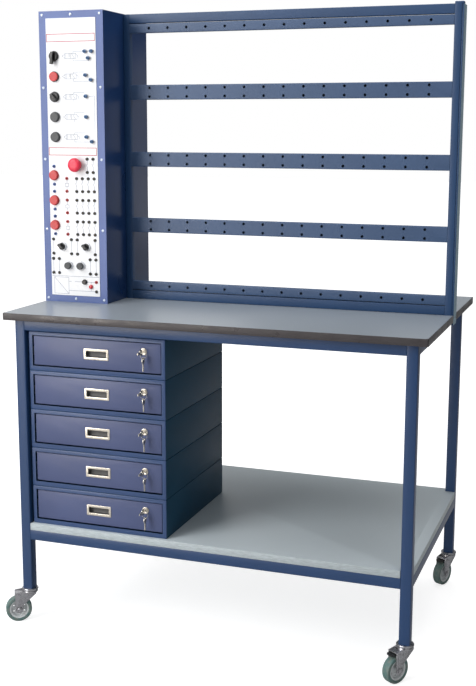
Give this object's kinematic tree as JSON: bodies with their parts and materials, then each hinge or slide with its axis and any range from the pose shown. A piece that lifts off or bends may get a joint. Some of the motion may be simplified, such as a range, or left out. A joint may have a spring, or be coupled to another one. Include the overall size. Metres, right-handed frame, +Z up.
{
  "type": "pneumatics training bench",
  "caption": "Mobile training bench with a perforated mounting rack, a pneumatic and electric control console and lockable drawers under the worktop.",
  "frame": {"origin": "middle of the footprint on the floor", "axes": "+X to the right seen from the operator's side, +Y to the back, +Z up"},
  "size_m": [1.2226, 0.81, 1.766],
  "materials": {
    "frame_paint": "semi-gloss dark blue enamel",
    "drawer_paint": "semi-gloss dark blue enamel, a little greyer",
    "console_paint": "semi-gloss navy enamel",
    "front_plate_paint": "semi-gloss mid-blue enamel",
    "rack_paint": "semi-gloss dark blue enamel",
    "worktop_laminate": "grey laminate on board, satin",
    "edge_band": "dark brown-grey edge band",
    "shelf_laminate": "grey laminate on board, white edge",
    "zinc_steel": "zinc plated",
    "satin_nickel": "satin nickel",
    "key_brass": "nickel-plated brass",
    "galvanised": "galvanised",
    "fascia_white": "white laminate, printed thin lines",
    "red_plastic": "red",
    "black_plastic": "black",
    "grey_plastic": "dark grey",
    "socket_plastic": "black, red and blue insulated sockets",
    "fitting_blue": "blue-grey with a nickel collar",
    "bezel_plastic": "black and pale grey rings",
    "tyre_grey": "grey-green thermoplastic rubber",
    "valve_body": "anodised",
    "screw_zinc": "zinc plated"
  },
  "bodies": {
    "bench": {"worktop": "worktop_laminate", "worktop_edging": "edge_band", "legs": "frame_paint", "table_rails": "frame_paint", "lower_shelf": "shelf_laminate", "caster_stems": "zinc_steel", "drawer_cabinets": "drawer_paint", "drawer_runners": "galvanised", "rack_frame": "rack_paint", "rack_bars": "rack_paint", "rack_side_strap": "galvanised", "console_case": "console_paint", "console_rear_cover": "console_paint", "console_front_plate": "front_plate_paint", "console_fascia": "fascia_white", "console_sockets": "socket_plastic", "push_in_fittings": "fitting_blue", "fuse_and_lamp": "black_plastic", "control_bezels": "bezel_plastic", "fasteners": "screw_zinc", "pneumatic_valves": "valve_body", "electrical_units": "grey_plastic"},
    "drawer_1": {"drawer_1_tray": "drawer_paint", "drawer_1_pull_and_lock": "satin_nickel"},
    "key_1": {"drawer_1_key": "key_brass"},
    "drawer_2": {"drawer_2_tray": "drawer_paint", "drawer_2_pull_and_lock": "satin_nickel"},
    "key_2": {"drawer_2_key": "key_brass"},
    "drawer_3": {"drawer_3_tray": "drawer_paint", "drawer_3_pull_and_lock": "satin_nickel"},
    "key_3": {"drawer_3_key": "key_brass"},
    "drawer_4": {"drawer_4_tray": "drawer_paint", "drawer_4_pull_and_lock": "satin_nickel"},
    "key_4": {"drawer_4_key": "key_brass"},
    "drawer_5": {"drawer_5_tray": "drawer_paint", "drawer_5_pull_and_lock": "satin_nickel"},
    "key_5": {"drawer_5_key": "key_brass"},
    "fork_front_left": {"caster_fork_front_left": "zinc_steel"},
    "wheel_front_left": {"caster_wheel_front_left": "tyre_grey"},
    "fork_front_right": {"caster_fork_front_right": "zinc_steel"},
    "wheel_front_right": {"caster_wheel_front_right": "tyre_grey"},
    "pedal_front_right": {"caster_pedal_front_right": "black_plastic"},
    "fork_rear_left": {"caster_fork_rear_left": "zinc_steel"},
    "wheel_rear_left": {"caster_wheel_rear_left": "tyre_grey"},
    "fork_rear_right": {"caster_fork_rear_right": "zinc_steel"},
    "wheel_rear_right": {"caster_wheel_rear_right": "tyre_grey"},
    "pedal_rear_right": {"caster_pedal_rear_right": "black_plastic"},
    "red_palm_button": {"red_palm_button": "red_plastic"},
    "grey_button_upper": {"grey_button_upper": "grey_plastic"},
    "grey_button_lower": {"grey_button_lower": "grey_plastic"},
    "red_button_1": {"red_button_1": "red_plastic"},
    "red_button_2": {"red_button_2": "red_plastic"},
    "red_button_3": {"red_button_3": "red_plastic"},
    "start_button_left": {"start_button_left": "grey_plastic"},
    "start_button_right": {"start_button_right": "grey_plastic"},
    "emergency_stop": {"emergency_stop": "red_plastic"},
    "selector_lever": {"selector_lever": "black_plastic"},
    "valve_selector": {"valve_selector": "black_plastic"},
    "switch_left": {"switch_left": "black_plastic"},
    "switch_right": {"switch_right": "black_plastic"}
  },
  "joints": [
    {"name": "drawer_1_slide", "type": "slide", "parent": "bench", "child": "drawer_1", "axis": [0, -1, 0], "range_m": [0, 0.38]},
    {"name": "lock_1_turn", "type": "hinge", "parent": "drawer_1", "child": "key_1", "pos_m": [-0.17175, -0.34051, 0.82955], "axis": [0, -1, 0], "range_deg": [0, 90]},
    {"name": "drawer_2_slide", "type": "slide", "parent": "bench", "child": "drawer_2", "axis": [0, -1, 0], "range_m": [0, 0.38]},
    {"name": "lock_2_turn", "type": "hinge", "parent": "drawer_2", "child": "key_2", "pos_m": [-0.17175, -0.34051, 0.71655], "axis": [0, -1, 0], "range_deg": [0, 90]},
    {"name": "drawer_3_slide", "type": "slide", "parent": "bench", "child": "drawer_3", "axis": [0, -1, 0], "range_m": [0, 0.38]},
    {"name": "lock_3_turn", "type": "hinge", "parent": "drawer_3", "child": "key_3", "pos_m": [-0.17175, -0.34051, 0.60355], "axis": [0, -1, 0], "range_deg": [0, 90]},
    {"name": "drawer_4_slide", "type": "slide", "parent": "bench", "child": "drawer_4", "axis": [0, -1, 0], "range_m": [0, 0.38]},
    {"name": "lock_4_turn", "type": "hinge", "parent": "drawer_4", "child": "key_4", "pos_m": [-0.17175, -0.34051, 0.49055], "axis": [0, -1, 0], "range_deg": [0, 90]},
    {"name": "drawer_5_slide", "type": "slide", "parent": "bench", "child": "drawer_5", "axis": [0, -1, 0], "range_m": [0, 0.38]},
    {"name": "lock_5_turn", "type": "hinge", "parent": "drawer_5", "child": "key_5", "pos_m": [-0.17175, -0.34051, 0.37755], "axis": [0, -1, 0], "range_deg": [0, 90]},
    {"name": "caster_swivel_front_left", "type": "hinge", "parent": "bench", "child": "fork_front_left", "pos_m": [-0.54575, -0.34001, 0.0937], "axis": [0, 0, 1], "continuous": true},
    {"name": "wheel_spin_front_left", "type": "hinge", "parent": "fork_front_left", "child": "wheel_front_left", "pos_m": [-0.57426, -0.35853, 0.0375], "axis": [0.5446, -0.8387, 0], "continuous": true},
    {"name": "caster_swivel_front_right", "type": "hinge", "parent": "bench", "child": "fork_front_right", "pos_m": [0.56825, -0.34001, 0.0937], "axis": [0, 0, 1], "continuous": true},
    {"name": "wheel_spin_front_right", "type": "hinge", "parent": "fork_front_right", "child": "wheel_front_right", "pos_m": [0.54924, -0.3682, 0.0375], "axis": [0.829, -0.5592, 0], "continuous": true},
    {"name": "brake_pedal_front_right", "type": "hinge", "parent": "fork_front_right", "child": "pedal_front_right", "pos_m": [0.55539, -0.35908, 0.0797], "axis": [0.829, -0.5592, 0], "range_deg": [0, 17]},
    {"name": "caster_swivel_rear_left", "type": "hinge", "parent": "bench", "child": "fork_rear_left", "pos_m": [-0.54575, 0.36999, 0.0937], "axis": [0, 0, 1], "continuous": true},
    {"name": "wheel_spin_rear_left", "type": "hinge", "parent": "fork_rear_left", "child": "wheel_rear_left", "pos_m": [-0.5676, 0.34394, 0.0375], "axis": [0.766, -0.6428, 0], "continuous": true},
    {"name": "caster_swivel_rear_right", "type": "hinge", "parent": "bench", "child": "fork_rear_right", "pos_m": [0.56825, 0.36999, 0.0937], "axis": [0, 0, 1], "continuous": true},
    {"name": "wheel_spin_rear_right", "type": "hinge", "parent": "fork_rear_right", "child": "wheel_rear_right", "pos_m": [0.55497, 0.33869, 0.0375], "axis": [0.9205, -0.3907, 0], "continuous": true},
    {"name": "brake_pedal_rear_right", "type": "hinge", "parent": "fork_rear_right", "child": "pedal_rear_right", "pos_m": [0.55927, 0.34882, 0.0797], "axis": [0.9205, -0.3907, 0], "range_deg": [0, 17]},
    {"name": "red_palm_button_press", "type": "slide", "parent": "bench", "child": "red_palm_button", "axis": [0, 1, 0], "range_m": [0, 0.003], "stiffness_N_per_m": 300},
    {"name": "grey_button_upper_press", "type": "slide", "parent": "bench", "child": "grey_button_upper", "axis": [0, 1, 0], "range_m": [0, 0.003], "stiffness_N_per_m": 300},
    {"name": "grey_button_lower_press", "type": "slide", "parent": "bench", "child": "grey_button_lower", "axis": [0, 1, 0], "range_m": [0, 0.003], "stiffness_N_per_m": 300},
    {"name": "red_button_1_press", "type": "slide", "parent": "bench", "child": "red_button_1", "axis": [0, 1, 0], "range_m": [0, 0.003], "stiffness_N_per_m": 300},
    {"name": "red_button_2_press", "type": "slide", "parent": "bench", "child": "red_button_2", "axis": [0, 1, 0], "range_m": [0, 0.003], "stiffness_N_per_m": 300},
    {"name": "red_button_3_press", "type": "slide", "parent": "bench", "child": "red_button_3", "axis": [0, 1, 0], "range_m": [0, 0.003], "stiffness_N_per_m": 300},
    {"name": "start_button_left_press", "type": "slide", "parent": "bench", "child": "start_button_left", "axis": [0, 1, 0], "range_m": [0, 0.003], "stiffness_N_per_m": 300},
    {"name": "start_button_right_press", "type": "slide", "parent": "bench", "child": "start_button_right", "axis": [0, 1, 0], "range_m": [0, 0.003], "stiffness_N_per_m": 300},
    {"name": "emergency_stop_press", "type": "slide", "parent": "bench", "child": "emergency_stop", "axis": [0, 1, 0], "range_m": [0, 0.006], "stiffness_N_per_m": 300},
    {"name": "selector_lever_turn", "type": "hinge", "parent": "bench", "child": "selector_lever", "pos_m": [-0.54125, -0.12451, 1.635], "axis": [0, 1, 0], "range_deg": [0, 90]},
    {"name": "valve_selector_turn", "type": "hinge", "parent": "bench", "child": "valve_selector", "pos_m": [-0.54125, -0.12451, 1.52], "axis": [0, 1, 0], "range_deg": [0, 90]},
    {"name": "switch_left_turn", "type": "hinge", "parent": "bench", "child": "switch_left", "pos_m": [-0.52725, -0.12451, 1.0855], "axis": [0, 1, 0], "range_deg": [0, 90]},
    {"name": "switch_right_turn", "type": "hinge", "parent": "bench", "child": "switch_right", "pos_m": [-0.44875, -0.12451, 1.0855], "axis": [0, 1, 0], "range_deg": [0, 90]}
  ]
}
